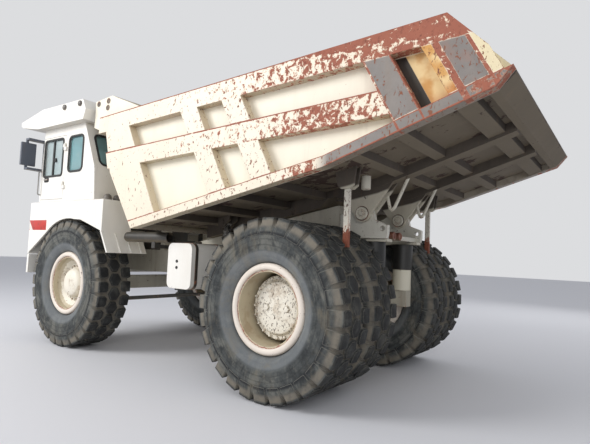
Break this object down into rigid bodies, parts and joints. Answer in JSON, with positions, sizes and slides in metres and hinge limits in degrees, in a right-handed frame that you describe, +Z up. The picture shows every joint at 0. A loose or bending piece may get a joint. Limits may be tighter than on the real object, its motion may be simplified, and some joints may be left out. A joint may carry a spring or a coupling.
{
  "type": "mining dump truck",
  "caption": "Rigid two-axle mining dump truck: half-width cab, tipping body with canopy on rear hinge pins, telescopic hoists, steered front wheels and twin rear wheels.",
  "frame": {"origin": "on the floor, under the middle of the truck's overall length and width", "axes": "+X to the front of the truck, +Y to its left, +Z up"},
  "size_m": [8.7221, 4.58, 4.16],
  "materials": {
    "cream_paint": "aged gloss",
    "frame_paint": "dusty satin",
    "body_paint": "chipped, rusting",
    "body_under": "dusty, rusting",
    "worn_floor": "worn bare steel",
    "rim_paint": "aged gloss",
    "tyre_rubber": "dusty",
    "window_glass": "tinted",
    "dark_paint": "satin",
    "lamp_glass": "clear",
    "machinery": "oily",
    "strut_paint": "satin",
    "hoist_paint": "dusty satin",
    "hoist_chrome": "polished",
    "seat_vinyl": "matte"
  },
  "bodies": {
    "chassis": {"frame": "frame_paint", "hoist_brackets": "frame_paint", "rear_brackets": "frame_paint", "bumper": "cream_paint", "grille": "dark_paint", "headlamps": "lamp_glass", "engine": "machinery", "hood": "cream_paint", "deck_left": "cream_paint", "deck_right": "cream_paint", "cab_shell": "cream_paint", "cab_roof": "cream_paint", "cab_glass": "window_glass", "cab_seat": "seat_vinyl", "mirrors": "dark_paint", "fuel_tank": "cream_paint", "oil_tank": "cream_paint", "exhaust_pipe": "dark_paint", "air_cleaners": "dark_paint", "handrails": "cream_paint", "rear_axle": "frame_paint", "front_axle": "frame_paint", "struts": "strut_paint", "driveshaft": "machinery"},
    "dump_body": {"body_floor": "worn_floor", "body_side_left": "body_paint", "body_side_right": "body_paint", "body_front": "body_paint", "body_beams": "body_under"},
    "knuckle_left": {"knuckle_left": "machinery"},
    "knuckle_right": {"knuckle_right": "machinery"},
    "tie_rod": {"tie_rod": "machinery"},
    "front_wheel_left": {"front_tyre_left": "tyre_rubber", "front_rim_left": "rim_paint"},
    "front_wheel_right": {"front_tyre_right": "tyre_rubber", "front_rim_right": "rim_paint"},
    "rear_wheels_left": {"rear_tyres_left": "tyre_rubber", "rear_rims_left": "rim_paint"},
    "rear_wheels_right": {"rear_tyres_right": "tyre_rubber", "rear_rims_right": "rim_paint"},
    "door": {"door": "cream_paint", "door_glass": "window_glass"},
    "ejector_left": {"ejector_left": "cream_paint"},
    "ejector_right": {"ejector_right": "cream_paint"},
    "hoist_barrel_left": {"hoist_barrel_left": "hoist_paint"},
    "hoist_barrel_right": {"hoist_barrel_right": "hoist_paint"},
    "hoist_stage_left": {"hoist_stage_left": "hoist_chrome"},
    "hoist_stage_right": {"hoist_stage_right": "hoist_chrome"},
    "hoist_rod_left": {"hoist_rod_left": "hoist_chrome"},
    "hoist_rod_right": {"hoist_rod_right": "hoist_chrome"}
  },
  "joints": [
    {"name": "body_tip", "type": "hinge", "parent": "chassis", "child": "dump_body", "pos_m": [-2.246, 0, 2.296], "axis": [0, -1, 0], "range_deg": [0, 50]},
    {"name": "steering", "type": "hinge", "parent": "chassis", "child": "knuckle_left", "pos_m": [2.74, 1.3, 1.07], "axis": [0, 0, 1], "range_deg": [-35, 35]},
    {"name": "steering_right", "type": "hinge", "parent": "chassis", "child": "knuckle_right", "pos_m": [2.74, -1.3, 1.07], "axis": [0, 0, 1], "range_deg": [-35, 35]},
    {"name": "tie_rod_end", "type": "hinge", "parent": "knuckle_left", "child": "tie_rod", "pos_m": [2.29, 1.3, 0.85], "axis": [0, 0, 1], "range_deg": [-35, 35]},
    {"name": "front_wheel_left_spin", "type": "hinge", "parent": "knuckle_left", "child": "front_wheel_left", "pos_m": [2.74, 1.657, 1.07], "axis": [0, 1, 0], "continuous": true},
    {"name": "front_wheel_right_spin", "type": "hinge", "parent": "knuckle_right", "child": "front_wheel_right", "pos_m": [2.74, -1.657, 1.07], "axis": [0, 1, 0], "continuous": true},
    {"name": "rear_wheels_left_spin", "type": "hinge", "parent": "chassis", "child": "rear_wheels_left", "pos_m": [-1.72, 1.371, 1.07], "axis": [0, 1, 0], "continuous": true},
    {"name": "rear_wheels_right_spin", "type": "hinge", "parent": "chassis", "child": "rear_wheels_right", "pos_m": [-1.72, -1.371, 1.07], "axis": [0, 1, 0], "continuous": true},
    {"name": "door_swing", "type": "hinge", "parent": "chassis", "child": "door", "pos_m": [2.98, 1.97, 3.09], "axis": [0, 0, 1], "range_deg": [0, 75]},
    {"name": "ejector_left_swing", "type": "hinge", "parent": "dump_body", "child": "ejector_left", "pos_m": [-2.4, 1.371, 2.591], "axis": [0, -1, 0], "range_deg": [-50, 20]},
    {"name": "ejector_right_swing", "type": "hinge", "parent": "dump_body", "child": "ejector_right", "pos_m": [-2.4, -1.371, 2.591], "axis": [0, -1, 0], "range_deg": [-50, 20]},
    {"name": "hoist_barrel_left_swing", "type": "hinge", "parent": "chassis", "child": "hoist_barrel_left", "pos_m": [-0.37, 0.88, 0.98], "axis": [0, -1, 0], "range_deg": [0, 25]},
    {"name": "hoist_stage_left_slide", "type": "slide", "parent": "hoist_barrel_left", "child": "hoist_stage_left", "axis": [0.3186, 0, 0.9479], "range_m": [0, 0.875]},
    {"name": "hoist_rod_left_slide", "type": "slide", "parent": "hoist_stage_left", "child": "hoist_rod_left", "axis": [0.3186, 0, 0.9479], "range_m": [0, 0.875]},
    {"name": "hoist_barrel_right_swing", "type": "hinge", "parent": "chassis", "child": "hoist_barrel_right", "pos_m": [-0.37, -0.88, 0.98], "axis": [0, -1, 0], "range_deg": [0, 25]},
    {"name": "hoist_stage_right_slide", "type": "slide", "parent": "hoist_barrel_right", "child": "hoist_stage_right", "axis": [0.3186, 0, 0.9479], "range_m": [0, 0.875]},
    {"name": "hoist_rod_right_slide", "type": "slide", "parent": "hoist_stage_right", "child": "hoist_rod_right", "axis": [0.3186, 0, 0.9479], "range_m": [0, 0.875]}
  ],
  "couplings": [
    {"joint": "steering_right", "follows": "steering", "ratio": 1},
    {"joint": "tie_rod_end", "follows": "steering", "ratio": -1},
    {"joint": "hoist_barrel_left_swing", "follows": "body_tip", "ratio": 0.49289},
    {"joint": "hoist_stage_left_slide", "follows": "body_tip", "m_per_rad": 0.99687},
    {"joint": "hoist_rod_left_slide", "follows": "body_tip", "m_per_rad": 0.99687},
    {"joint": "hoist_barrel_right_swing", "follows": "body_tip", "ratio": 0.49289},
    {"joint": "hoist_stage_right_slide", "follows": "body_tip", "m_per_rad": 0.99687},
    {"joint": "hoist_rod_right_slide", "follows": "body_tip", "m_per_rad": 0.99687}
  ]
}
